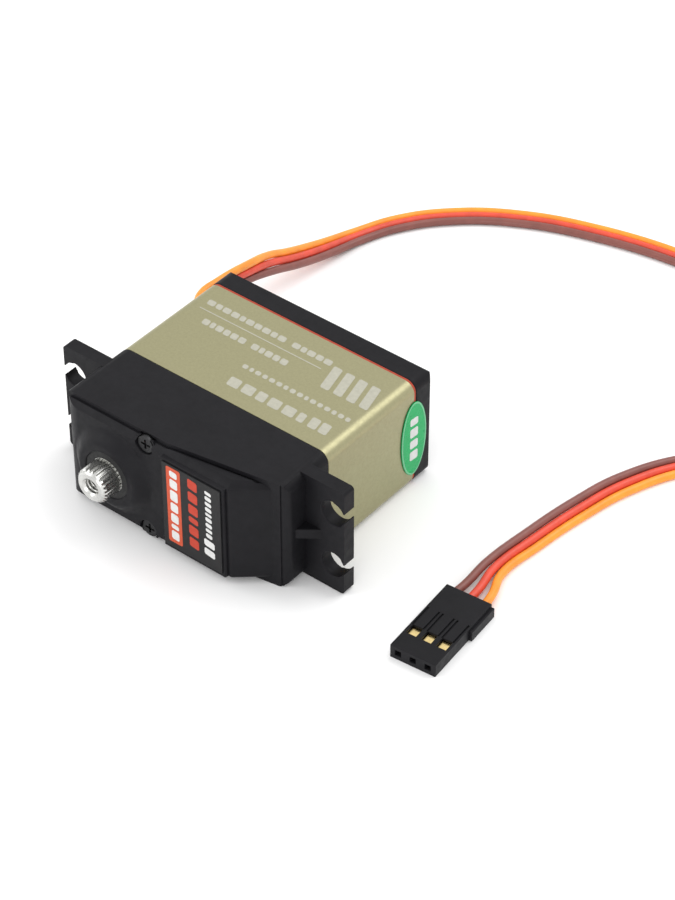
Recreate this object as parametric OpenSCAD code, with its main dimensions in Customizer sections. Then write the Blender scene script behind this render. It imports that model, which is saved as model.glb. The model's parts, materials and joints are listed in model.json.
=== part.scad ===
// Standard-size brushless digital servo, lying on its wide side.
// X runs along the case, +Y from the output shaft to the rear cover, +Z up through the case's width.
// The origin is under the middle of the servo, on the surface it lies on.

/* [Case] */
// Length of the case, between the end walls
case_l = 40.5; // [39:0.1:42]
// Width of the case, which stands up as it lies
case_w = 20.1; // [19.5:0.1:21]
// Radius of the four long corners of the case
corner_r = 1.9; // [1:0.1:2.5]
// Thickness of the moulded walls
wall = 1.3; // [1:0.1:1.6]
// Thickness of the metal walls
metal_wall = 1.2; // [1:0.1:1.5]

/* [Ears] */
// How far each ear stands out from the end wall
ear_reach = 7.2; // [6.5:0.1:8]
// Thickness of the ears
ear_t = 2.3; // [2:0.1:3]
// Radius of the four mounting holes
ear_hole_r = 2.15; // [2:0.05:2.3]
// Distance between the two pairs of mounting holes, along the case
ear_pitch_x = 50.7; // [49.5:0.1:51]
// Distance between the two holes of one ear
ear_pitch_z = 10; // [9.5:0.1:10.5]
// Width of the mouth that opens each hole to the end of its ear
ear_mouth = 1.8; // [1.2:0.1:2.4]

/* [Output] */
// Distance of the output axis from the near end wall
out_from_end = 10.3; // [10:0.1:11]
// Number of splines on the output shaft
spline_teeth = 25; // [23:1:25]
// Radius over the splines
spline_r = 2.95; // [2.8:0.05:3]
// Radius of the threaded hole in the shaft's end
horn_thread_r = 1.25; // [1:0.05:1.3]

/* [Lead] */
// Diameter of one wire over its insulation
wire_d = 1.35; // [1.1:0.05:1.4]
// Distance between the wires inside the plug
plug_pitch = 2.54; // [2.54]

/* [Hidden] */
$fn = 48;

// Stations along Y, from the tip of the shaft to the rear face
tip_y = -22;
boss_y = -18.5;
front_y = -16.9;
joint_y = -15.7;
ear_y = -8.2;
plate_y = ear_y + ear_t;
motor_y = -3.9;
metal_y = -2.8;
seal_y = 17.7;
rear_y = 18.1;
back_y = 22;

// Boss round the output shaft: its radius at the front face and at its top
boss_foot_r = 7.8;
boss_top_r = 5.1;

// Plan of the front cover: square to the axis, then slanted back over the motor
half_l = case_l/2;
mid_z = case_w/2;
nose_r = 3.7;
bend_x = 12.95;
slant = 41;
joint_bend_x = 0.25;
joint_slope = 9.4;
side_step = 0.5;
groove_w = 0.35;
groove_d = 0.3;
side_taper = 1.2;
front_chamfer = 0.35;
far = 60;

// Shafts of the gear train, all parallel to Y at mid width
mod_1 = 0.3;
pinion_1_t = 11;
wheel_1_t = 54;
pinion_2_t = 12;
wheel_2_t = 40;
pinion_3_t = 12;
wheel_3_t = 36;
pinion_4_t = 10;
wheel_4_t = 31;
shaft_gap = 10.25;
out_x = -half_l + out_from_end;
pin_x = out_x + shaft_gap;
motor_x = pin_x + mod_1*(pinion_1_t + wheel_1_t)/2;
mod_2 = 2*shaft_gap/(pinion_2_t + wheel_2_t);
mod_3 = 2*shaft_gap/(pinion_3_t + wheel_3_t);
mod_4 = 2*shaft_gap/(pinion_4_t + wheel_4_t);
pressure = 20;
backlash = 0.05;
run_gap = 0.05;

// Layers of the gear train, from the plate towards the front
wheel_1_y = [-7.4, -6.2];
wheel_2_y = [-9.1, -7.8];
wheel_3_y = [-11.2, -9.5];
wheel_4_y = [-14.4, -11.6];
stem_r = 1.5;
pin_r = 1;
journal_r = 3;
motor_shaft_r = 0.75;
can_r = 8.2;
can_wall = 0.6;
can_back_y = 15.5;
front_bearing_y = [-17.7, -14.7];

// Fasteners
post_r = 2;
post = [half_l - 2.3, 2.3];
screw_r = 1;
screw_head_r = 1.7;
cover_screw_x = -3.45;
cover_screw_z = 1.75;
cover_screw_r = 0.8;
cover_head_r = 1.45;
cover_seat_y = -15.6;
cover_boss_y = -14.5;

// Label and sticker
pad_x = [0.35, 12.45];
pad_z = [1.4, 18.75];
pad_t = 0.6;
label_t = 0.25;
label_edge = 0.45;
oval_y = 17.55;
oval_z = 9.6;
oval_half = [3.05, 7.1];
sticker_t = 0.12;

// Lead: where it leaves, and the route of its middle wire from the grommet to the plug.
// Each row is x, y, z, how far the flat lead has turned from upright, and the wire spacing.
grommet_y = [18.9, 21.1];
grommet_x = [-half_l - 2.5, -half_l + 2];
lead_route = [
    [-22.75, 20, 10, 0, 1.35], [-25.2, 20.4, 10, 0, 1.35], [-26.7, 22.5, 10, 0, 1.35],
    [-27, 27, 9.8, 0, 1.35], [-26.9, 35, 8.6, 10, 1.35], [-27.1, 40.5, 6.9, 40, 1.35],
    [-27, 45.5, 4.9, 55, 1.35], [-26.9, 51, 3, 65, 1.35], [-26.7, 56, 1.6, 78, 1.35],
    [-25.7, 62, 0.7, 90, 1.35], [-22.6, 69, 0.7, 90, 1.35], [-17, 76, 0.7, 90, 1.35],
    [-8, 82.6, 0.7, 90, 1.35], [5, 87.8, 0.7, 90, 1.35], [22, 91, 0.7, 90, 1.35],
    [41, 91.4, 0.7, 90, 1.35], [58, 88, 0.7, 90, 1.35], [69, 79.5, 0.7, 90, 1.35],
    [69.5, 68, 0.7, 90, 1.35], [60.5, 57.5, 0.7, 90, 1.35], [51, 47.5, 0.8, 97, 1.35],
    [46.2, 37.5, 1.1, 110, 1.35], [44, 28, 1.2, 116, 1.35], [42.6, 18, 1.2, 116, 1.35],
    [41.9, 9.5, 1.2, 105, 1.45], [42.86, 4.45, 1.2, 92, 2.2], [43.1, 1.7, 1.2, 90, 2.54]];
tube_r = wire_d/2 - 0.03;
tube_sides = 8;
plug_at = [43.1, 1.7];
plug_turn = 5;
plug_size = [7.8, 15.4, 2.4];
window_y = 10.9;

// ---- Helpers ----

// Extrudes an (x, z) outline between two stations along Y
module along_y(y0, y1) {
    translate([0, y1, 0]) rotate([90, 0, 0]) linear_extrude(y1 - y0) children();
}

// A round bar between two stations along Y
module bar_y(x, z, r, y0, y1) {
    translate([x, y1, z]) rotate([90, 0, 0]) cylinder(r = r, h = y1 - y0);
}

module ring_y(x, z, r_out, r_in, y0, y1) {
    difference() {
        bar_y(x, z, r_out, y0, y1);
        bar_y(x, z, r_in, y0 - 1, y1 + 1);
    }
}

module box(x, y, z) {
    translate([x[0], y[0], z[0]]) cube([x[1] - x[0], y[1] - y[0], z[1] - z[0]]);
}

module rounded_rect(l, w, r) {
    square([l - 2*r, w], center = true);
    square([l, w - 2*r], center = true);
    for (i = [-1, 1], j = [-1, 1]) translate([i*(l/2 - r), j*(w/2 - r)]) circle(r);
}

// The case's cross-section, smaller by inset all round
module case_section(inset) {
    translate([0, mid_z]) rounded_rect(case_l - 2*inset, case_w - 2*inset,
        max(corner_r - inset, 0.6));
}

module at_posts() {
    for (i = [-1, 1], z = [post[1], case_w - post[1]]) translate([i*post[0], 0, z]) children();
}

module at_cover_screws() {
    for (z = [cover_screw_z, case_w - cover_screw_z]) translate([cover_screw_x, 0, z]) children();
}

// Plan, in (x, y), of everything behind the front face, less an inset
module plan(inset) {
    r = nose_r - inset;
    left = -half_l + inset;
    front = front_y + inset;
    shift = inset/cos(slant) - inset*tan(slant);
    slant_end = (half_l - inset - bend_x + shift)*tan(slant);
    polygon([[left, back_y], [left, front + r], [left + r, front], [bend_x - shift, front],
        [half_l - inset, front + slant_end], [half_l - inset, back_y]]);
    translate([left + r, front + r]) circle(r);
}

// Everything in front of the joint between the cover and the ear case, moved back by gap
module joint_plan(gap = 0) {
    run = far - joint_bend_x;
    polygon([[-far, -far], [far, -far], [far, joint_y + gap + run*tan(joint_slope)],
        [joint_bend_x, joint_y + gap], [-far, joint_y + gap]]);
}

// A long bar along X with the cover's side taper and front chamfer
module tapered_bar() {
    taper_y = front_y + front_chamfer;
    low = side_step;
    high = case_w - side_step;
    rotate([90, 0, 90]) translate([0, 0, -far]) linear_extrude(2*far) polygon([
        [back_y, low], [joint_y, low], [taper_y, side_taper],
        [front_y, side_taper + front_chamfer], [front_y, case_w - side_taper - front_chamfer],
        [taper_y, case_w - side_taper], [joint_y, high], [back_y, high]]);
}

module cover_shell() {
    intersection() {
        translate([0, 0, -1]) linear_extrude(case_w + 2) intersection() {
            plan(0);
            joint_plan();
        }
        along_y(front_y - 1, back_y) case_section(0);
        tapered_bar();
        translate([bend_x, front_y, 0]) rotate([0, 0, slant]) translate([0, -front_y, 0])
            tapered_bar();
    }
}

// ---- Gear teeth ----

function roll_angle(r, base) = r <= base ? 0 : tan(acos(base/r))*180/PI - acos(base/r);

// Points of an involute gear with the middle of a tooth at angle turn
function gear_points(teeth, mod, turn, add, ded) =
    let (pitch = mod*teeth/2, base = pitch*cos(pressure),
        root = pitch - ded*mod, tip = pitch + add*mod, low = max(base, root + 0.05*mod),
        half = 90/teeth - backlash/pitch*90/PI + roll_angle(pitch, base),
        radii = [root, low, (low + tip)/2, tip])
    [for (i = [0:teeth - 1], side = [-1, 1], k = [0:3])
        let (r = radii[side < 0 ? k : 3 - k],
            a = turn + i*360/teeth + side*(half - roll_angle(r, base)))
        [r*cos(a), r*sin(a)]];

module gear(teeth, mod, turn, y, add = 1, ded = 1.25) {
    along_y(y[0], y[1]) polygon(gear_points(teeth, mod, turn, add, ded));
}

// A wheel whose gap faces a pinion that lies towards +X or -X
module wheel(teeth, mod, towards, y) {
    gear(teeth, mod, (towards > 0 ? 0 : 180) + 180/teeth, y, add = 0.8, ded = 1.35);
}

module pinion(teeth, mod, towards, y) {
    gear(teeth, mod, towards > 0 ? 0 : 180, y, add = 1, ded = 1.2);
}

// ---- Housing ----

// Raised boss round the output shaft, which swells smoothly out of the front face
module shaft_boss() {
    rings = 8;
    rotate_extrude() polygon(concat([[0, -0.5], [boss_foot_r, -0.5]],
        [for (i = [0:rings]) [boss_foot_r + (boss_top_r - boss_foot_r)*i/rings,
            (front_y - boss_y)*(1 - cos(180*i/rings))/2]],
        [[0, front_y - boss_y]]));
}

module gear_cover() {
    color([0.09, 0.09, 0.1]) difference() {
        union() {
            cover_shell();
            translate([out_x, front_y, mid_z]) rotate([90, 0, 0]) shaft_boss();
            // Raised pad under the label
            box(pad_x, [front_y - pad_t, front_y + 0.5], pad_z);
            // Bosses that the cover's screws pass through
            intersection() {
                at_cover_screws() bar_y(0, 0, 1.9, front_y + 0.5, cover_boss_y);
                along_y(front_y, cover_boss_y) case_section(side_step);
            }
            // Sleeves round the front bearing and the gears' pin
            bar_y(out_x, mid_z, 6.2, joint_y - 0.5, front_bearing_y[1]);
            bar_y(pin_x, mid_z, 2.2, joint_y - 0.5, joint_y + 0.8);
        }
        // Hollow over the motor's side
        intersection() {
            translate([0, 0, side_step + wall]) linear_extrude(case_w - 2*side_step - 2*wall)
                intersection() { plan(wall); joint_plan(1); }
            box([pin_x + 2.5, half_l], [joint_y, back_y], [0, case_w]);
        }
        // Groove in the wide faces, along the joint
        difference() {
            translate([0, 0, -1]) linear_extrude(case_w + 2)
                difference() { joint_plan(1); joint_plan(-groove_w); }
            along_y(front_y - 1, back_y) case_section(side_step + groove_d);
        }
        // Seat of the front bearing, and the seal's opening before it
        bar_y(out_x, mid_z, 5, front_bearing_y[0], joint_y + 2);
        bar_y(out_x, mid_z, 4.1, boss_y - 1, joint_y);
        bar_y(pin_x, mid_z, pin_r, joint_y - 0.6, joint_y + 2);
        at_cover_screws() {
            bar_y(0, 0, 1.6, front_y - 1, cover_seat_y);
            bar_y(0, 0, cover_screw_r + run_gap, front_y, cover_boss_y + 1);
        }
    }
}

module ear_hole() {
    bar_y(0, 0, ear_hole_r, ear_y - 1, plate_y + 1);
    box([0, ear_reach], [ear_y - 1, plate_y + 1], [-ear_mouth/2, ear_mouth/2]);
}

module ears() {
    difference() {
        along_y(ear_y, plate_y) translate([0, mid_z])
            rounded_rect(case_l + 2*ear_reach, case_w - 0.4, 0.6);
        for (i = [-1, 1], j = [-1, 1])
            translate([i*ear_pitch_x/2, 0, mid_z + j*ear_pitch_z/2])
                mirror([i < 0 ? 1 : 0, 0, 0]) ear_hole();
    }
    // Gussets between the ears and the end walls
    for (i = [0, 1]) mirror([i, 0, 0]) translate([0, 0, mid_z - 1.15]) linear_extrude(1.8)
        polygon([[half_l - 0.5, ear_y + 0.5], [half_l - 0.5, ear_y - 2.4], [half_l, ear_y - 2.4],
            [half_l + 3.1, ear_y], [half_l + 3.1, ear_y + 0.5]]);
}

// The ear case's outer block, behind the joint, with its corner over the motor rounded
module ear_block() {
    corner = 1.2;
    edge_y = joint_y + (half_l - joint_bend_x)*tan(joint_slope);
    intersection() {
        along_y(front_y, metal_y) case_section(0);
        translate([0, 0, -1]) linear_extrude(case_w + 2) difference() {
            union() {
                polygon([[-half_l, back_y], [-half_l, front_y + nose_r],
                    [-half_l + nose_r, front_y], [half_l - corner, front_y],
                    [half_l - corner, edge_y + corner], [half_l, edge_y + corner],
                    [half_l, back_y]]);
                translate([-half_l + nose_r, front_y + nose_r]) circle(nose_r);
                translate([half_l - corner, edge_y + corner]) circle(corner);
            }
            joint_plan();
        }
    }
}

// Open to the cover in front, and closed by a shelf beside the cover's thin end
module gearbox_hollow() {
    wall_x = half_l - wall;
    shelf_x = 15.5;
    shelf_y = joint_y + wall + (shelf_x - joint_bend_x)*tan(joint_slope);
    end_y = joint_y + wall + (wall_x - joint_bend_x)*tan(joint_slope);
    intersection() {
        along_y(front_y, plate_y) case_section(wall);
        translate([0, 0, -1]) linear_extrude(case_w + 2) polygon([
            [-wall_x, plate_y], [-wall_x, front_y + nose_r], [-wall_x + wall, front_y],
            [shelf_x, front_y], [shelf_x, shelf_y], [wall_x, end_y], [wall_x, plate_y]]);
    }
}

module ear_case() {
    color([0.1, 0.1, 0.11]) difference() {
        union() {
            difference() {
                union() { ear_block(); ears(); }
                gearbox_hollow();
                // Motor side, behind the plate
                along_y(motor_y, metal_y + 1) case_section(metal_wall);
            }
            intersection() {
                union() {
                    at_posts() bar_y(0, 0, post_r, -10.5, metal_y);
                    at_cover_screws() bar_y(0, 0, 1.6, cover_boss_y, -11.7);
                    at_cover_screws() box([-1.6, 1.6], [cover_boss_y, -11.7],
                        [-cover_screw_z, 0]);
                }
                along_y(front_y, metal_y) case_section(0.3);
            }
            bar_y(pin_x, mid_z, 2.2, plate_y - 0.2, motor_y);
        }
        // Room for the cover's screw bosses, under the skin of the two wide faces
        intersection() {
            at_cover_screws() bar_y(0, 0, 1.95, front_y, cover_boss_y);
            along_y(front_y, cover_boss_y) case_section(side_step - 0.05);
        }
        at_cover_screws() bar_y(0, 0, 1.55, front_y, cover_seat_y + run_gap);
        at_cover_screws() bar_y(0, 0, cover_screw_r, front_y, -12);
        at_posts() bar_y(0, 0, screw_r, -9.5, metal_y + 1);
        bar_y(out_x, mid_z, journal_r, plate_y - 1, metal_y);
        bar_y(pin_x, mid_z, pin_r, plate_y - 1, motor_y - 0.4);
        bar_y(motor_x, mid_z, 3, plate_y - 1, metal_y);
        for (j = [-1, 1]) bar_y(motor_x, mid_z + j*5.5, 0.85, plate_y - 1, metal_y);
    }
}

module middle_case() {
    color([0.78, 0.75, 0.62]) difference() {
        union() {
            difference() {
                along_y(metal_y, seal_y) case_section(0.05);
                along_y(metal_y - 1, seal_y + 1) case_section(metal_wall);
            }
            intersection() {
                at_posts() bar_y(0, 0, post_r, metal_y, seal_y);
                along_y(metal_y, seal_y) case_section(0.3);
            }
        }
        at_posts() bar_y(0, 0, screw_r + run_gap, metal_y - 1, seal_y + 1);
    }
}

module seal_gasket() {
    color([0.72, 0.2, 0.1]) along_y(seal_y, rear_y) difference() {
        case_section(0.1);
        case_section(metal_wall - 0.2);
        for (i = [-1, 1], z = [post[1], case_w - post[1]]) translate([i*post[0], z])
            circle(screw_r + run_gap);
    }
}

module rear_cover() {
    edge = 0.5;
    color([0.1, 0.1, 0.11]) difference() {
        union() {
            intersection() {
                along_y(rear_y, back_y) case_section(0);
                rotate([90, 0, 90]) translate([0, 0, -far]) linear_extrude(2*far)
                    polygon([[rear_y, 0], [back_y - edge, 0], [back_y, edge],
                        [back_y, case_w - edge], [back_y - edge, case_w], [rear_y, case_w]]);
                linear_extrude(case_w) polygon([[-half_l, rear_y], [-half_l, back_y - edge],
                    [-half_l + edge, back_y], [half_l - edge, back_y],
                    [half_l, back_y - edge], [half_l, rear_y]]);
            }
        }
        difference() {
            along_y(rear_y - 1, back_y - wall) case_section(wall);
            at_posts() bar_y(0, 0, post_r + 0.2, rear_y - 2, back_y);
        }
        at_posts() {
            bar_y(0, 0, screw_head_r + 0.15, back_y - 1.3, back_y + 1);
            bar_y(0, 0, screw_r + run_gap, rear_y - 1, back_y);
        }
        box([-half_l - 1, grommet_x[1] + 0.1], grommet_y, [7.2, 12.9]);
    }
}

// A cross-slotted screw along Y with its head's top at y0, its seat at y1 and its end at y2
module screw(r, head_r, y0, y1, y2) {
    difference() {
        union() {
            bar_y(0, 0, head_r, y0, y1);
            bar_y(0, 0, r, y1, y2);
        }
        for (a = [0, 90]) rotate([0, a, 0])
            box([-head_r*0.6, head_r*0.6], [y0 - 1, y0 + 0.4*(y1 - y0)], [-0.18, 0.18]);
    }
}

module cover_screws() {
    color([0.2, 0.2, 0.21]) at_cover_screws()
        screw(cover_screw_r, cover_head_r, front_y + 0.4, cover_seat_y, -12.2);
}

module case_screws() {
    color([0.25, 0.25, 0.26]) at_posts() mirror([0, 1, 0])
        screw(screw_r, screw_head_r, -back_y + 0.2, -back_y + 1.3, 9.2);
}

module label_plate() {
    color([0.06, 0.06, 0.06]) box([pad_x[0] + label_edge, pad_x[1] - label_edge],
        [front_y - pad_t - label_t, front_y - pad_t], [pad_z[0] + 0.9, pad_z[1] - 0.4]);
}

module side_sticker() {
    color([0.1, 0.7, 0.42]) translate([half_l, oval_y, oval_z]) rotate([90, 0, 90])
        linear_extrude(sticker_t) polygon([for (a = [0:7.5:359])
            [oval_half[0]*cos(a), oval_half[1]*sin(a)]]);
}

module lead_grommet() {
    gap = 0.05;
    color([0.08, 0.08, 0.08]) union() {
        box(grommet_x, [grommet_y[0] + gap, grommet_y[1] - gap], [7.25, 12.85]);
        // Lip inside the wall
        box([-half_l + wall + 0.1, grommet_x[1]], [rear_y + 0.3, back_y - wall - 0.2],
            [6.6, 13.5]);
    }
}

module shaft_seal() {
    color([0.12, 0.12, 0.12]) ring_y(out_x, mid_z, 4.1, journal_r + 0.03, -18.3, -17.75);
}

// ---- Bearings ----

module race(r_out, r_in, y) {
    color([0.75, 0.76, 0.78]) ring_y(out_x, mid_z, r_out, r_in, y[0], y[1]);
}

module balls(ring_r, ball_r, count, y) {
    color([0.85, 0.85, 0.87]) for (k = [0:count - 1]) let (a = k*360/count)
        translate([out_x + ring_r*cos(a), (y[0] + y[1])/2, mid_z + ring_r*sin(a)])
            sphere(r = ball_r, $fn = 14);
}

module front_bearing_outer() { race(5, 4.45, front_bearing_y); }
module front_bearing_inner() { race(3.55, journal_r, front_bearing_y); }
module front_bearing_balls() { balls(4, 0.4, 9, front_bearing_y); }
module rear_bearing_outer() { race(journal_r, 2.6, [plate_y, motor_y]); }
module rear_bearing_inner() { race(1.95, stem_r, [plate_y, motor_y]); }
module rear_bearing_balls() { balls(2.275, 0.28, 8, [plate_y, motor_y]); }

// ---- Gear train ----

module output_shaft() {
    spline_mod = 2*spline_r/(spline_teeth + 1.6);
    color([0.72, 0.73, 0.72]) difference() {
        union() {
            // Splined end, with a bevelled tip
            intersection() {
                translate([out_x, 0, mid_z]) gear(spline_teeth, spline_mod, 0,
                    [tip_y, boss_y + 0.3], add = 0.8, ded = 0.6);
                union() {
                    translate([out_x, tip_y, mid_z]) rotate([-90, 0, 0])
                        cylinder(r1 = 2.35, r2 = spline_r + 0.01, h = 0.6);
                    bar_y(out_x, mid_z, spline_r + 0.01, tip_y + 0.6, 0);
                }
            }
            bar_y(out_x, mid_z, journal_r, boss_y + 0.3, wheel_4_y[0]);
            bar_y(out_x, mid_z, 4, wheel_4_y[0] - 0.3, wheel_4_y[0]);
            translate([out_x, 0, mid_z]) wheel(wheel_4_t, mod_4, 1, wheel_4_y);
            bar_y(out_x, mid_z, stem_r, wheel_4_y[1], motor_y + 0.5);
        }
        bar_y(out_x, mid_z, horn_thread_r, tip_y - 1, tip_y + 8);
        // Mouth of the threaded hole
        translate([out_x, tip_y - 0.01, mid_z]) rotate([-90, 0, 0])
            cylinder(r1 = 1.65, r2 = horn_thread_r, h = 0.4);
        bar_y(out_x, mid_z, 0.8, -6.5, motor_y + 1);
    }
}

module gear_3() {
    color([0.7, 0.7, 0.68]) translate([pin_x, 0, mid_z]) difference() {
        union() {
            wheel(wheel_3_t, mod_3, -1, wheel_3_y);
            pinion(pinion_4_t, mod_4, -1, [wheel_4_y[0] - 0.1, wheel_3_y[0] + 0.1]);
        }
        bar_y(0, 0, pin_r + run_gap, -far, far);
    }
}

module gear_2() {
    color([0.78, 0.66, 0.36]) translate([out_x, 0, mid_z]) difference() {
        union() {
            wheel(wheel_2_t, mod_2, 1, wheel_2_y);
            pinion(pinion_3_t, mod_3, 1, [wheel_3_y[0] - 0.1, wheel_2_y[0] + 0.1]);
        }
        bar_y(0, 0, stem_r + run_gap, -far, far);
    }
}

module gear_1() {
    color([0.8, 0.68, 0.38]) translate([pin_x, 0, mid_z]) difference() {
        union() {
            wheel(wheel_1_t, mod_1, 1, wheel_1_y);
            pinion(pinion_2_t, mod_2, -1, [wheel_2_y[0] - 0.2, wheel_1_y[0] + 0.1]);
        }
        bar_y(0, 0, pin_r + run_gap, -far, far);
    }
}

module middle_pin() {
    color([0.8, 0.8, 0.82]) bar_y(pin_x, mid_z, pin_r, joint_y - 0.6, motor_y - 0.4);
}

// ---- Motor ----

module motor_pinion() {
    color([0.82, 0.7, 0.4]) translate([motor_x, 0, mid_z]) difference() {
        pinion(pinion_1_t, mod_1, -1, [wheel_1_y[0] - 0.2, wheel_1_y[1] + 0.2]);
        bar_y(0, 0, motor_shaft_r, -far, far);
    }
}

module motor_shaft() {
    color([0.8, 0.8, 0.82]) bar_y(motor_x, mid_z, motor_shaft_r, wheel_1_y[0] - 0.2, can_back_y - 0.8);
}

module motor_magnet() {
    color([0.35, 0.35, 0.37]) ring_y(motor_x, mid_z, 3.6, motor_shaft_r, 0.5, 11.5);
}

module motor_stator() {
    color([0.5, 0.5, 0.52]) difference() {
        union() {
            ring_y(motor_x, mid_z, can_r - can_wall, 6.6, 0.5, 11.5);
            for (a = [0:60:359]) translate([motor_x, 0, mid_z]) rotate([0, a, 0]) {
                box([4.4, 7], [0.5, 11.5], [-0.7, 0.7]);
                box([4.0, 4.8], [0.5, 11.5], [-1.7, 1.7]);
            }
        }
        bar_y(motor_x, mid_z, 3.9, 0, 12);
    }
}

module motor_windings() {
    color([0.75, 0.4, 0.2]) for (a = [0:60:359])
        translate([motor_x, 0, mid_z]) rotate([0, a, 0]) difference() {
            box([5.0, 6.3], [-0.5, 12.5], [-1.6, 1.6]);
            box([4.9, 6.4], [0.45, 11.55], [-0.75, 0.75]);
        }
}

module motor_can() {
    color([0.62, 0.63, 0.65]) difference() {
        union() {
            bar_y(motor_x, mid_z, can_r, motor_y, can_back_y - 1.5);
            bar_y(motor_x, mid_z, 3, plate_y, motor_y + 1);
        }
        bar_y(motor_x, mid_z, can_r - can_wall, motor_y + 1, can_back_y);
        bar_y(motor_x, mid_z, 2, plate_y - 1, motor_y + 0.5);
        bar_y(motor_x, mid_z, 1.2, plate_y - 1, motor_y + 2);
        for (j = [-1, 1]) bar_y(motor_x, mid_z + j*5.5, 0.8, motor_y - 1, motor_y + 2);
    }
}

module motor_end_bell() {
    color([0.15, 0.15, 0.16]) difference() {
        union() {
            bar_y(motor_x, mid_z, can_r, can_back_y - 1.5, can_back_y);
            bar_y(motor_x, mid_z, can_r - can_wall, can_back_y - 2.5, can_back_y - 1);
        }
        bar_y(motor_x, mid_z, 2, can_back_y - 3, can_back_y - 0.6);
        for (a = [150, 180, 210]) translate([motor_x + 6*cos(a), 0, mid_z + 6*sin(a)])
            bar_y(0, 0, 0.5, can_back_y - 3, can_back_y + 1);
    }
}

module motor_bearings() {
    color([0.74, 0.75, 0.77]) {
        ring_y(motor_x, mid_z, 2, motor_shaft_r + 0.03, plate_y + 0.1, motor_y + 0.5);
        ring_y(motor_x, mid_z, 2, motor_shaft_r + 0.03, can_back_y - 2.4, can_back_y - 0.6);
    }
}

module motor_screws() {
    color([0.6, 0.6, 0.62]) for (j = [-1, 1]) translate([motor_x, 0, mid_z + j*5.5])
        screw(0.8, 1.4, plate_y - 0.8, plate_y, motor_y + 0.9);
}

module motor_leads() {
    color([0.7, 0.35, 0.2]) for (a = [150, 180, 210])
        bar_y(motor_x + 6*cos(a), mid_z + 6*sin(a), 0.45, can_back_y - 2.4, 17);
}

// ---- Position sensor and electronics ----

module sensor_body() {
    color([0.15, 0.3, 0.5]) difference() {
        union() {
            bar_y(out_x, mid_z, 5, motor_y + 1.3, 4);
            bar_y(out_x, mid_z, 2.2, motor_y + 0.8, motor_y + 1.4);
        }
        bar_y(out_x, mid_z, 0.85, motor_y, 3);
    }
}

module sensor_shaft() {
    color([0.85, 0.85, 0.85]) bar_y(out_x, mid_z, 0.8, -6.4, 2.8);
}

module sensor_pins() {
    color([0.8, 0.8, 0.8]) for (j = [-1, 0, 1])
        bar_y(out_x - 2.5, mid_z + j*plug_pitch, 0.3, 4, 17);
}

module circuit_board() {
    color([0.1, 0.35, 0.2]) box([-15.4, 15.4], [17, 18], [1.6, case_w - 1.6]);
}

module power_transistors() {
    color([0.12, 0.12, 0.13]) for (i = [0:2], z = [4, 12.4])
        box([1 + 4.6*i, 4.4 + 4.6*i], [18, 19], [z, z + 3.6]);
}

module control_chip() {
    color([0.14, 0.14, 0.15]) box([-9, -3], [18, 19], [7, 13]);
}

module bulk_capacitor() {
    color([0.2, 0.2, 0.45]) translate([-6, 20.4, 3.4]) rotate([90, 0, 0])
        cylinder(r = 1.5, h = 2.4);
}

// ---- Lead and plug ----

function unit(v) = v/norm(v);
function place(row) = [row[0], row[1], row[2]];

// Direction of a route at one of its rows
function heading(route, i) =
    unit(place(route[min(i + 1, len(route) - 1)]) - place(route[max(i - 1, 0)]));

// Sideways direction of the flat lead at a row: up at 0 degrees, to its left at 90
function across(route, i) =
    let (t = heading(route, i), left = unit([-t[1], t[0], 0]), turn = route[i][3])
    unit(cos(turn)*cross(t, left) + sin(turn)*left);

function wire_point(route, i, side) = place(route[i]) + side*route[i][4]*across(route, i);

function tube_ring(route, i, side) =
    let (t = heading(route, i), a = across(route, i), b = cross(t, a))
    [for (k = [0:tube_sides - 1]) let (turn = (k + 0.5)*360/tube_sides)
        wire_point(route, i, side) + tube_r*(cos(turn)*a + sin(turn)*b)];

module tube(route, side) {
    n = len(route);
    s = tube_sides;
    polyhedron(
        points = [for (i = [0:n - 1]) each tube_ring(route, i, side)],
        faces = concat([[for (k = [0:s - 1]) s - 1 - k]], [[for (k = [0:s - 1]) (n - 1)*s + k]],
            [for (i = [0:n - 2], k = [0:s - 1]) let (k2 = (k + 1) % s)
                [i*s + k, i*s + k2, (i + 1)*s + k2, (i + 1)*s + k]]));
}

module lead_brown() {
    color([0.35, 0.17, 0.12]) tube(lead_route, -1);
}

module lead_red() {
    color([0.75, 0.15, 0.1]) tube(lead_route, 0);
}

module lead_orange() {
    color([0.95, 0.5, 0.12]) tube(lead_route, 1);
}

module at_plug() {
    translate([plug_at[0], plug_at[1], 0]) rotate([0, 0, plug_turn]) children();
}

module plug_housing() {
    w = plug_size[0];
    l = plug_size[1];
    h = plug_size[2];
    color([0.09, 0.09, 0.1]) at_plug() difference() {
        union() {
            box([-w/2, w/2], [-l, 0], [0, h]);
            // Rib that keys the plug
            box([w/2, w/2 + 0.5], [-6.3, 0], [0, 0.75*h]);
        }
        for (i = [-1, 0, 1]) translate([i*plug_pitch, 0, 0]) {
            // Passage for the contact, its pin hole and its window
            box([-0.95, 0.95], [-l + 1.2, 1], [0.4, h - 0.45]);
            box([-0.5, 0.5], [-l - 1, -l + 2], [h/2 - 0.5, h/2 + 0.5]);
            box([-0.85, 0.85], [-window_y - 1, -window_y + 0.9], [h/2, h + 1]);
            // Slots beside each latch
            for (j = [-1, 1]) box([j*0.95 - 0.12, j*0.95 + 0.12],
                [-window_y + 0.9, -window_y + 5.2], [h - 0.3, h + 1]);
        }
    }
}

module plug_contacts() {
    l = plug_size[1];
    h = plug_size[2];
    color([0.85, 0.72, 0.35]) at_plug() for (i = [-1, 0, 1]) translate([i*plug_pitch, 0, 0])
        difference() {
            union() {
                box([-0.75, 0.75], [-l + 1.3, -4], [0.45, h - 0.6]);
                box([-0.5, 0.5], [-5, 0], [0.6, h - 0.8]);
            }
            box([-0.45, 0.45], [-l + 1, -6], [h/2 - 0.4, h/2 + 0.3]);
        }
}

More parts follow.
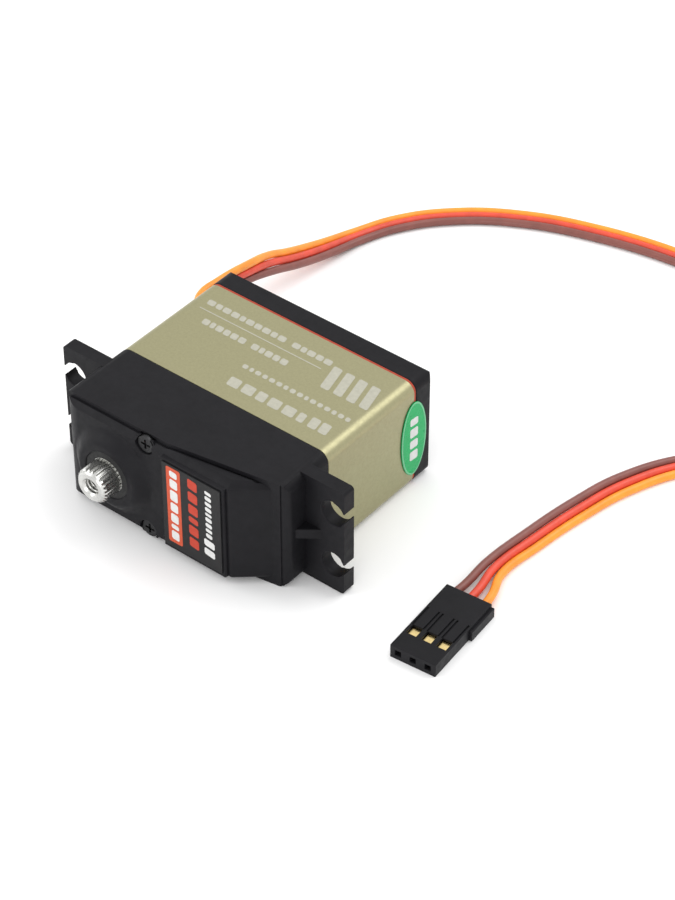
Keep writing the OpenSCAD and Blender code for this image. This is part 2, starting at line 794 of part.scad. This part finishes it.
gear_cover();
ear_case();
middle_case();
seal_gasket();
rear_cover();
cover_screws();
case_screws();
label_plate();
side_sticker();
lead_grommet();
shaft_seal();
front_bearing_outer();
front_bearing_inner();
front_bearing_balls();
rear_bearing_outer();
rear_bearing_inner();
rear_bearing_balls();
output_shaft();
gear_3();
gear_2();
gear_1();
middle_pin();
motor_pinion();
motor_shaft();
motor_magnet();
motor_stator();
motor_windings();
motor_can();
motor_end_bell();
motor_bearings();
motor_screws();
motor_leads();
sensor_body();
sensor_shaft();
sensor_pins();
circuit_board();
power_transistors();
control_chip();
bulk_capacitor();
lead_brown();
lead_red();
lead_orange();
plug_housing();
plug_contacts();
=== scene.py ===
import json
import math

import bmesh
import bpy
from mathutils import Matrix, Vector
from mathutils.geometry import intersect_line_line_2d, intersect_point_line


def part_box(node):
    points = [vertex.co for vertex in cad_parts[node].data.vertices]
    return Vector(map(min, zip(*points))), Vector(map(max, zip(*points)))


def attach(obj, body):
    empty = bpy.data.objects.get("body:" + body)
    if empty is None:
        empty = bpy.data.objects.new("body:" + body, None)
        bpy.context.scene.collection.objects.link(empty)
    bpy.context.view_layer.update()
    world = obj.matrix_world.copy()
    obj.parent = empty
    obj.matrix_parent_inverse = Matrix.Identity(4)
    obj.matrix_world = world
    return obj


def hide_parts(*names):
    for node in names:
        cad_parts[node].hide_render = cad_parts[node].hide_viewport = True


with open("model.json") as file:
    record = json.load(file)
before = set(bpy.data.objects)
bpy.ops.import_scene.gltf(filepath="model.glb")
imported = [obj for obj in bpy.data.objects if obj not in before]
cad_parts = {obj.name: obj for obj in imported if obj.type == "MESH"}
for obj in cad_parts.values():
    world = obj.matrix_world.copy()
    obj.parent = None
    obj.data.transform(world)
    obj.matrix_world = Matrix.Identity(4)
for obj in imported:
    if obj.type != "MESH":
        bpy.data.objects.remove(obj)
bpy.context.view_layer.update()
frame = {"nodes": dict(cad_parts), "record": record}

# The looks of a standard-size servo motor. Sizes are in metres; MM turns millimetres into them.
MM = 0.001
scene = bpy.context.scene

# ---- Camera ----

CAMERA_PLACE = Vector((229.86, -260.53, 306.85)) * MM
CAMERA_TARGET = Vector((18.82, 1.80, 17.05)) * MM
LENS = 120.5
SHIFT_X = -0.0039


def make_camera():
    camera = bpy.data.objects.new("camera", bpy.data.cameras.new("camera"))
    scene.collection.objects.link(camera)
    camera.location = CAMERA_PLACE
    camera.rotation_euler = (CAMERA_TARGET - CAMERA_PLACE).to_track_quat("-Z", "Y").to_euler()
    camera.data.lens = LENS
    camera.data.sensor_width = 36
    camera.data.shift_x = SHIFT_X
    camera.data.clip_start = 0.01
    camera.data.clip_end = 20
    scene.camera = camera


make_camera()

# ---- Node materials ----


class Finish:
    """A Principled material whose colour, roughness and bump come from nodes."""

    def __init__(self, name, **constants):
        self.material = bpy.data.materials.new(name)
        self.material.use_nodes = True
        self.tree = self.material.node_tree
        self.shader = self.tree.nodes["Principled BSDF"]
        for socket, value in constants.items():
            self.shader.inputs[socket.replace("_", " ")].default_value = value
        self.place = self.node("ShaderNodeTexCoord").outputs["Object"]
        self.height = None

    def node(self, kind, **values):
        made = self.tree.nodes.new(kind)
        for key, value in values.items():
            setattr(made, key, value)
        return made

    def link(self, source, target):
        self.tree.links.new(source, target)

    def noise(self, scale, detail=3.0, roughness=0.55, stretch=None):
        """Noise from 0 to 1 over the piece; stretch scales each axis first."""
        source = self.place
        if stretch:
            mapping = self.node("ShaderNodeMapping")
            mapping.inputs["Scale"].default_value = stretch
            self.link(source, mapping.inputs["Vector"])
            source = mapping.outputs["Vector"]
        texture = self.node("ShaderNodeTexNoise")
        texture.inputs["Scale"].default_value = scale
        texture.inputs["Detail"].default_value = detail
        texture.inputs["Roughness"].default_value = roughness
        self.link(source, texture.inputs["Vector"])
        return texture.outputs["Fac"]

    def ramp(self, source, low, high):
        """Turns 0.3..0.7 of source into low..high."""
        spread = self.node("ShaderNodeMapRange")
        spread.inputs["From Min"].default_value = 0.3
        spread.inputs["From Max"].default_value = 0.7
        spread.inputs["To Min"].default_value = low
        spread.inputs["To Max"].default_value = high
        self.link(source, spread.inputs["Value"])
        return spread.outputs["Result"]

    def colour(self, source, dark, light):
        mix = self.node("ShaderNodeMix", data_type="RGBA")
        mix.inputs["A"].default_value = (*dark, 1)
        mix.inputs["B"].default_value = (*light, 1)
        self.link(self.ramp(source, 0, 1), mix.inputs["Factor"])
        self.link(mix.outputs["Result"], self.shader.inputs["Base Color"])

    def rough(self, source, low, high):
        self.link(self.ramp(source, low, high), self.shader.inputs["Roughness"])

    def bump(self, source, depth):
        """Adds a relief of that depth, in metres, on top of any before it."""
        relief = self.node("ShaderNodeBump")
        relief.inputs["Strength"].default_value = 1.0
        relief.inputs["Distance"].default_value = depth
        self.link(source, relief.inputs["Height"])
        if self.height:
            self.link(self.height, relief.inputs["Normal"])
        self.height = relief.outputs["Normal"]
        self.link(self.height, self.shader.inputs["Normal"])


def moulded_plastic(name, tone, low=0.42, high=0.56, grain=0.008):
    """Dark moulded plastic: spark-eroded grain, with faint flow marks in its gloss."""
    finish = Finish(name, Specular_IOR_Level=0.13)
    flow = finish.noise(260, detail=2)
    finish.colour(flow, [0.86 * c for c in tone], [1.12 * c for c in tone])
    finish.rough(finish.noise(900, detail=4), low, high)
    finish.bump(finish.noise(9000, detail=2), grain * MM)
    finish.bump(finish.noise(1500, detail=2), 0.6 * grain * MM)
    return finish.material


def anodised(name, tone):
    """Bead-blasted, anodised aluminium: fine even grain and slight tone changes."""
    finish = Finish(name, Metallic=1.0)
    finish.colour(finish.noise(2600, detail=5, roughness=0.7),
                  [0.93 * c for c in tone], [1.07 * c for c in tone])
    finish.rough(finish.noise(1800, detail=4), 0.36, 0.46)
    finish.bump(finish.noise(7000, detail=4, roughness=0.7), 0.009 * MM)
    return finish.material


def machined(name, tone, low, high, stretch, grain=0.004):
    """Cut or ground metal, with tool marks along the unstretched axes."""
    finish = Finish(name, Metallic=1.0)
    marks = finish.noise(1600, detail=5, roughness=0.7, stretch=stretch)
    finish.colour(marks, [0.82 * c for c in tone], [1.1 * c for c in tone])
    finish.rough(marks, low, high)
    finish.bump(marks, grain * MM)
    return finish.material


def insulation(name, tone):
    """Extruded insulation: soft gloss, with long shallow waves along the wire."""
    finish = Finish(name, Specular_IOR_Level=0.5, Coat_Weight=0.12, Coat_Roughness=0.25)
    finish.colour(finish.noise(420, detail=3), [0.85 * c for c in tone], [1.08 * c for c in tone])
    finish.rough(finish.noise(1200, detail=3), 0.34, 0.48)
    finish.bump(finish.noise(1500, detail=3), 0.02 * MM)
    return finish.material


def film(name, tone, gloss=0.3):
    """Ink or printed film: nearly even, with a slight mottle."""
    finish = Finish(name, Specular_IOR_Level=0.2)
    finish.colour(finish.noise(1500, detail=4), [0.92 * c for c in tone], [1.05 * c for c in tone])
    finish.rough(finish.noise(700, detail=3), gloss, gloss + 0.12)
    finish.bump(finish.noise(2500, detail=2), 0.003 * MM)
    return finish.material


def rubbery(name, tone):
    finish = Finish(name, Specular_IOR_Level=0.35)
    finish.colour(finish.noise(900, detail=4), [0.85 * c for c in tone], [1.15 * c for c in tone])
    finish.rough(finish.noise(2000, detail=3), 0.6, 0.78)
    finish.bump(finish.noise(5000, detail=3), 0.012 * MM)
    return finish.material


EVENLY = (1, 1, 1)
ALONG_Y = (1, 0.08, 1)
ACROSS_Y = (0.25, 6, 0.25)
FINISHES = {
    "black_plastic": moulded_plastic("black_plastic", (0.0084, 0.0081, 0.0098)),
    "champagne_aluminium": anodised("champagne_aluminium", (0.362, 0.342, 0.204)),
    "red_seal": rubbery("red_seal", (0.36, 0.045, 0.02)),
    "black_screw": machined("black_screw", (0.05, 0.05, 0.052), 0.32, 0.5, EVENLY),
    "label_print": film("label_film", (0.009, 0.009, 0.0095)),
    "green_sticker": film("green_film", (0.008, 0.36, 0.105), gloss=0.22),
    "black_rubber": rubbery("black_rubber", (0.018, 0.018, 0.018)),
    "bearing_steel": machined("bearing_steel", (0.62, 0.62, 0.62), 0.16, 0.28, ACROSS_Y, 0.001),
    "steel": machined("steel", (0.6, 0.6, 0.58), 0.2, 0.38, ACROSS_Y, 0.003),
    "gear_brass": machined("gear_brass", (0.7, 0.5, 0.2), 0.22, 0.36, ALONG_Y),
    "dark_magnet": machined("dark_magnet", (0.22, 0.22, 0.23), 0.3, 0.45, EVENLY),
    "stator_steel": machined("stator_steel", (0.32, 0.32, 0.33), 0.4, 0.55, ACROSS_Y),
    "copper": machined("copper", (0.75, 0.3, 0.12), 0.2, 0.34, ALONG_Y, 0.01),
    "can_steel": machined("can_steel", (0.5, 0.5, 0.51), 0.25, 0.4, ALONG_Y),
    "blue_plastic": moulded_plastic("blue_plastic", (0.02, 0.07, 0.25)),
    "board_green": film("board_green", (0.02, 0.16, 0.06)),
    "chip_black": moulded_plastic("chip_black", (0.014, 0.014, 0.015)),
    "wire_brown": insulation("wire_brown", (0.21, 0.062, 0.048)),
    "wire_red": insulation("wire_red", (0.70, 0.062, 0.028)),
    "wire_orange": insulation("wire_orange", (0.93, 0.30, 0.016)),
    "plug_plastic": moulded_plastic("plug_plastic", (0.0098, 0.0095, 0.0112), 0.34, 0.5, 0.005),
    "contact_gold": machined("contact_gold", (0.85, 0.66, 0.3), 0.18, 0.34, EVENLY, 0.002),
}
INKS = {
    "orange_ink": film("orange_ink", (0.52, 0.075, 0.03)),
    "red_ink": film("red_ink", (0.44, 0.042, 0.02)),
    "white_ink": film("white_ink", (0.62, 0.62, 0.61)),
    "pale_ink": film("pale_ink", (0.40, 0.39, 0.32), gloss=0.45),
    "mint_ink": film("mint_ink", (0.16, 0.5, 0.27)),
}

SLOTS = {row["node"]: row["material_slot"] for row in frame["record"]["subparts"]}
BODY_OF = {n: b for b, nodes in frame["record"]["behaviour"]["bodies"].items() for n in nodes}


def paint(piece, material):
    piece.data.materials.clear()
    piece.data.materials.append(material)


def paint_nodes():
    for name, piece in frame["nodes"].items():
        paint(piece, FINISHES[SLOTS[name]])


paint_nodes()

# ---- Making pieces ----


def finish_piece(piece, body, material, node=None):
    paint(piece, material)
    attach(piece, body)
    if node:
        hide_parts(node)
    return piece


def mesh_piece(name, bm, body, material, node=None, smooth=True):
    """Turns a bmesh into a piece that rides on a body."""
    mesh = bpy.data.meshes.new(name)
    bmesh.ops.recalc_face_normals(bm, faces=bm.faces)
    for face in bm.faces:
        face.smooth = smooth
    bm.to_mesh(mesh)
    bm.free()
    piece = bpy.data.objects.new(name, mesh)
    scene.collection.objects.link(piece)
    return finish_piece(piece, body, material, node)


SHARP = math.radians(28)
SMOOTH_BELOW = math.radians(38)
FOLDED = math.radians(150)
SAME_PLANE = math.radians(0.8)
WELD = 0.002 * MM
ROUNDING_TRIES = 16
SPARING_TRIES = 4  # tries in which long edges are kept if a short one can go instead
SHORT_EDGE = 4     # in widths of the rounding


def outline_crossings(face):
    """Points where a face's outline runs over itself."""
    along = face.normal.orthogonal().normalized()
    across = face.normal.cross(along)
    flat = [Vector((v.co.dot(along), v.co.dot(across))) for v in face.verts]
    count = len(flat)
    spots = []
    for i in range(count):
        for j in range(i + 2, count - (i == 0)):
            if intersect_line_line_2d(flat[i], flat[(i + 1) % count],
                                      flat[j], flat[(j + 1) % count]):
                spots.append((face.verts[i].co + face.verts[(i + 1) % count].co) / 2)
                spots.append((face.verts[j].co + face.verts[(j + 1) % count].co) / 2)
    return spots


def folds(bm):
    """Places where the surface doubles back on itself."""
    bm.normal_update()
    spots = [spot for face in bm.faces if len(face.verts) > 3
             for spot in outline_crossings(face)]
    spots += [(e.verts[0].co + e.verts[1].co) / 2 for e in bm.edges
              if e.is_manifold and e.calc_face_angle(0) > FOLDED]
    return spots


def distance_to(edge, spot):
    a, b = edge.verts[0].co, edge.verts[1].co
    foot, t = intersect_point_line(spot, a, b)
    return (spot - (a if t < 0 else b if t > 1 else foot)).length


def rounded(bm, width, segments):
    """Rounds the outward edges, leaving those that have no room for it as they are."""
    bm.edges.ensure_lookup_table()
    rims = [e.index for e in bm.edges
            if e.is_manifold and e.is_convex and e.calc_face_angle(0) > SHARP]
    for attempt in range(ROUNDING_TRIES):
        trial = bm.copy()
        trial.edges.ensure_lookup_table()
        bmesh.ops.bevel(trial, geom=[trial.edges[i] for i in rims], offset=width,
                        offset_type="OFFSET", segments=segments, profile=0.5,
                        affect="EDGES", clamp_overlap=False, loop_slide=True, material=-1)
        spots = folds(trial)
        if not spots:
            bm.free()
            return trial
        trial.free()
        reach = (1 + attempt) * width
        dropped = set()
        for spot in spots:
            near = [i for i in rims if distance_to(bm.edges[i], spot) < reach]
            short = [i for i in near if bm.edges[i].calc_length() < SHORT_EDGE * width]
            dropped.update(short if short and attempt < SPARING_TRIES else near)
        rims = [i for i in rims if i not in dropped]
    return bm


def softened(node, width, segments=3):
    """Stands for a CAD node with the same solid, whose outward edges are rounded a little."""
    bm = bmesh.new()
    bm.from_mesh(frame["nodes"][node].data)
    bmesh.ops.remove_doubles(bm, verts=bm.verts, dist=WELD)
    bmesh.ops.dissolve_limit(bm, angle_limit=SAME_PLANE, verts=bm.verts, edges=bm.edges)
    bm = rounded(bm, width, segments)
    for edge in bm.edges:
        edge.smooth = edge.calc_face_angle(0) < SMOOTH_BELOW
    piece = mesh_piece(node + "_shell", bm, BODY_OF[node],
                       FINISHES[SLOTS[node]], node)
    even = piece.modifiers.new("even_faces", "WEIGHTED_NORMAL")
    even.keep_sharp = True
    return piece


# ---- Lead and plug ----

# The route of the middle wire, as in the CAD source, in millimetres: x, y, z,
# how far the flat lead has turned from upright, and the wire spacing
LEAD_ROUTE = [
    (-22.75, 20, 10, 0, 1.35), (-25.2, 20.4, 10, 0, 1.35), (-26.7, 22.5, 10, 0, 1.35),
    (-27, 27, 9.8, 0, 1.35), (-26.9, 35, 8.6, 10, 1.35), (-27.1, 40.5, 6.9, 40, 1.35),
    (-27, 45.5, 4.9, 55, 1.35), (-26.9, 51, 3, 65, 1.35), (-26.7, 56, 1.6, 78, 1.35),
    (-25.7, 62, 0.7, 90, 1.35), (-22.6, 69, 0.7, 90, 1.35), (-17, 76, 0.7, 90, 1.35),
    (-8, 82.6, 0.7, 90, 1.35), (5, 87.8, 0.7, 90, 1.35), (22, 91, 0.7, 90, 1.35),
    (41, 91.4, 0.7, 90, 1.35), (58, 88, 0.7, 90, 1.35), (69, 79.5, 0.7, 90, 1.35),
    (69.5, 68, 0.7, 90, 1.35), (60.5, 57.5, 0.7, 90, 1.35), (51, 47.5, 0.8, 97, 1.35),
    (46.2, 37.5, 1.1, 110, 1.35), (44, 28, 1.2, 116, 1.35), (42.6, 18, 1.2, 116, 1.35),
    (41.9, 9.5, 1.2, 105, 1.45), (42.86, 4.45, 1.2, 92, 2.2), (43.1, 1.7, 1.2, 90, 2.54)]
WIRES = {"lead_brown": (-1, 0.239), "lead_red": (0, 0.243), "lead_orange": (1, 0.248)}
WIRE_D = 1.33 * MM


def wire_points(side):
    """Points of one wire: the middle wire's route, moved sideways across the flat lead."""
    places = [Vector(row[:3]) * MM for row in LEAD_ROUTE]
    last = len(places) - 1
    points = []
    for i, place in enumerate(places):
        heading = (places[min(i + 1, last)] - places[max(i - 1, 0)]).normalized()
        left = Vector((-heading.y, heading.x, 0)).normalized()
        turn = math.radians(LEAD_ROUTE[i][3])
        across = (math.cos(turn) * heading.cross(left) + math.sin(turn) * left).normalized()
        points.append(place + side * LEAD_ROUTE[i][4] * MM * across)
    return points


def make_wire(node, side):
    points = wire_points(side)
    curve = bpy.data.curves.new(node + "_wire", "CURVE")
    curve.dimensions = "3D"
    curve.bevel_depth = WIRE_D / 2
    curve.bevel_resolution = 6
    curve.resolution_u = 10
    curve.use_fill_caps = True
    spline = curve.splines.new("BEZIER")
    spline.bezier_points.add(len(points) - 1)
    for knot, point in zip(spline.bezier_points, points):
        knot.co = point
        knot.handle_left_type = knot.handle_right_type = "AUTO"
    wire = bpy.data.objects.new(node + "_wire", curve)
    scene.collection.objects.link(wire)
    finish_piece(wire, "housing", FINISHES[SLOTS[node]], node)


plug = softened("plug_housing", 0.12 * MM)
contacts = softened("plug_contacts", 0.06 * MM, 2)
for wire_node, (wire_side, wire_length) in WIRES.items():
    make_wire(wire_node, wire_side)

# ---- Case ----

# How far each piece's edges are rounded, in millimetres, and in how many steps
ROUNDINGS = {
    "gear_cover": (0.25, 3), "ear_case": (0.25, 3), "middle_case": (0.08, 2),
    "rear_cover": (0.2, 3), "seal_gasket": (0.05, 2), "cover_screws": (0.07, 2),
    "case_screws": (0.07, 2), "lead_grommet": (0.2, 3), "label_plate": (0.05, 2),
    "output_shaft": (0.035, 2),
}
for case_node, (edge_width, edge_steps) in ROUNDINGS.items():
    softened(case_node, edge_width * MM, edge_steps)

# ---- Printed marks: plain bars, rules and blocks, no lettering ----

INK_T = 0.02 * MM
METAL_TOP_Z = 20.05 * MM
LABEL_Y = -17.75 * MM
STICKER_X = 20.37 * MM

# Each face's own across, up and outward directions, and its place
METAL_TOP = Matrix(((1, 0, 0, 0), (0, 1, 0, 0), (0, 0, 1, METAL_TOP_Z), (0, 0, 0, 1)))
LABEL_FACE = Matrix(((1, 0, 0, 0), (0, 0, -1, LABEL_Y), (0, 1, 0, 0), (0, 0, 0, 1)))
STICKER_FACE = Matrix(((0, 0, 1, STICKER_X), (1, 0, 0, 0), (0, 1, 0, 0), (0, 0, 0, 1)))


def printed(name, outlines, face, ink, depth=INK_T):
    """Thin prints with the given outlines, in millimetres across and up a face of the housing."""
    bm = bmesh.new()
    for outline in outlines:
        low = [bm.verts.new(face @ Vector((x * MM, y * MM, 0))) for x, y in outline]
        high = [bm.verts.new(face @ Vector((x * MM, y * MM, depth))) for x, y in outline]
        bm.faces.new(low[::-1])
        bm.faces.new(high)
        for i in range(len(low)):
            j = (i + 1) % len(low)
            bm.faces.new((low[i], low[j], high[j], high[i]))
    return mesh_piece(name, bm, "housing", ink, smooth=False)


def block(x0, x1, y0, y1, lean=0.0):
    """A leaning block with its corners cut."""
    cut = min(0.22, 0.25 * (x1 - x0), 0.25 * (y1 - y0))
    square = [(x0 + cut, y0), (x1 - cut, y0), (x1, y0 + cut), (x1, y1 - cut),
              (x1 - cut, y1), (x0 + cut, y1), (x0, y1 - cut), (x0, y0 + cut)]
    return [(x + lean * (y - y0), y) for x, y in square]


def block_row(x0, x1, y0, y1, shares, lean=0.0, gap=0.3):
    """Blocks side by side from x0 to x1, their widths in the given shares; 0 is a space."""
    unit = (x1 - x0 - gap * (len(shares) - 1)) / sum(share or 0.6 for share in shares)
    row, x = [], x0
    for share in shares:
        if share:
            row.append(block(x, x + share * unit, y0, y1, lean))
        x += (share or 0.6) * unit + gap
    return row


def upright(outlines):
    """Turns rows of blocks that run across into columns that run up."""
    return [[(-y, x) for x, y in outline] for outline in outlines]


WORD = (1, 0.7, 1, 0.9, 1)
LONG_WORD = (1, 0.8, 1, 1, 0.7, 1, 0.9, 1, 0.8, 1)


def print_case():
    rows = block_row(-17, 7.6, 13.1, 14.3, LONG_WORD + (0,) + WORD, -0.2, gap=0.25)
    rows += block_row(-14.5, 2.3, 8.9, 10.2, WORD + (1, 0) + WORD, -0.2, gap=0.25)
    rows += block_row(9.4, 18.4, 8.4, 13.6, (1, 1, 1, 1), -0.25, gap=0.8)
    rows += block_row(-2.7, 18, 4.6, 5.5, WORD + LONG_WORD + (0.8,), -0.2, gap=0.4)
    rows += block_row(-2, 12.7, 0.1, 2.1, (1, 1, 0.8, 1, 1, 0.6), -0.2, gap=0.6)
    rows += block_row(13.6, 17.2, 0.1, 2.4, (1, 1), -0.2, gap=0.4)
    rows.append(block(-17.2, 6.9, 11.7, 11.88))
    printed("case_print", rows, METAL_TOP, INKS["pale_ink"])


def print_label():
    printed("label_strip", [block(1.65, 4.35, 3.3, 18)], LABEL_FACE,
            INKS["orange_ink"])
    strip = upright(block_row(3.9, 17.3, -3.75, -2.3, (1, 0.5, 1, 1, 1.2, 1, 0.7), 0.1, gap=0.45))
    printed("strip_print", strip, LABEL_FACE, INKS["white_ink"], 2 * INK_T)
    code = upright(block_row(4.3, 17.5, -7.6, -5.8, (1, 1, 0.6, 1, 1, 1), 0.15, gap=0.6))
    printed("code_print", code, LABEL_FACE, INKS["red_ink"])
    words = upright(block_row(4.3, 7.4, -10.7, -8.7, (1, 1), 0.15, gap=0.5))
    words += upright(block_row(8, 17, -10.3, -9.1, LONG_WORD[:9], 0.15, gap=0.35))
    printed("word_print", words, LABEL_FACE, INKS["white_ink"])


def print_sticker():
    centre_y, centre_z = 17.55, 9.6
    steps = 96
    turn = [2 * math.pi * i / steps for i in range(steps)]
    half_y, half_z, rim = 3.0, 7.05, 0.3
    bm = bmesh.new()
    loops = []
    for inset, lift in ((0, 0), (0, INK_T), (rim, INK_T), (rim, 0)):
        loops.append([bm.verts.new(STICKER_FACE @ Vector((
            (centre_y + (half_y - inset) * math.cos(t)) * MM,
            (centre_z + (half_z - inset) * math.sin(t)) * MM, lift))) for t in turn])
    for k in range(4):
        a, b = loops[k], loops[(k + 1) % 4]
        for i in range(steps):
            j = (i + 1) % steps
            bm.faces.new((a[i], a[j], b[j], b[i]))
    mesh_piece("sticker_rim", bm, "housing", INKS["mint_ink"])
    marks = upright(block_row(5.4, 13.6, -18.5, -16.6, (1, 0.9, 1, 0.8), 0.1, gap=0.6))
    printed("sticker_print", marks, STICKER_FACE, INKS["white_ink"])


print_case()
print_label()
print_sticker()

# ---- Thread in the output shaft ----


def make_thread():
    """The ridge of a screw thread, wound up the wall of the shaft's bore."""
    shaft_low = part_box("output_shaft")[0]
    axis_x, axis_z = -9.95 * MM, 10.05 * MM
    bore, crest, pitch = 1.27 * MM, 1.08 * MM, 0.6 * MM
    start, turns, steps = shaft_low.y + 0.55 * MM, 9, 28
    profile = ((bore, -0.42 * pitch), (crest, -0.06 * pitch), (crest, 0.06 * pitch),
               (bore, 0.42 * pitch))
    bm = bmesh.new()
    rings = []
    for i in range(turns * steps + 1):
        angle = 2 * math.pi * i / steps
        rings.append([bm.verts.new((axis_x + r * math.cos(angle),
                                    start + pitch * i / steps + along,
                                    axis_z + r * math.sin(angle))) for r, along in profile])
    for a, b in zip(rings, rings[1:]):
        for i in range(len(profile)):
            j = (i + 1) % len(profile)
            bm.faces.new((a[i], a[j], b[j], b[i]))
    bm.faces.new(rings[0])
    bm.faces.new(rings[-1][::-1])
    mesh_piece("bore_thread", bm, "output", FINISHES["steel"])


make_thread()

# ---- Floor and light ----


def make_floor():
    bm = bmesh.new()
    bmesh.ops.create_grid(bm, x_segments=4, y_segments=4, size=4)
    mesh = bpy.data.meshes.new("floor")
    bm.to_mesh(mesh)
    bm.free()
    floor = bpy.data.objects.new("floor", mesh)
    scene.collection.objects.link(floor)
    finish = Finish("floor_white", Specular_IOR_Level=0.0)
    finish.colour(finish.noise(2, detail=1), (0.93, 0.93, 0.93), (0.95, 0.95, 0.95))
    finish.rough(finish.noise(3, detail=1), 0.85, 0.9)
    paint(floor, finish.material)


def softbox(name, place, target, size, power):
    light = bpy.data.objects.new(name, bpy.data.lights.new(name, "AREA"))
    scene.collection.objects.link(light)
    light.data.shape = "RECTANGLE"
    light.data.size, light.data.size_y = size
    light.data.energy = power
    light.location = place
    light.rotation_euler = (Vector(target) - Vector(place)).to_track_quat("-Z", "Y").to_euler()


def make_light():
    world = bpy.data.worlds.new("studio")
    scene.world = world
    world.use_nodes = True
    backdrop = world.node_tree.nodes["Background"]
    backdrop.inputs["Color"].default_value = (1, 1, 1, 1)
    backdrop.inputs["Strength"].default_value = 1.04
    middle = (0.01, 0.01, 0.01)
    softbox("key", (0.25, 0.55, 0.9), middle, (0.7, 0.7), 3.5)
    softbox("fill", (-0.8, -0.5, 0.6), middle, (0.8, 0.6), 4)
    softbox("front", (0.5, -0.9, 0.35), middle, (0.5, 0.4), 2)
    scene.view_settings.view_transform = "Standard"
    scene.view_settings.look = "None"


make_floor()
make_light()
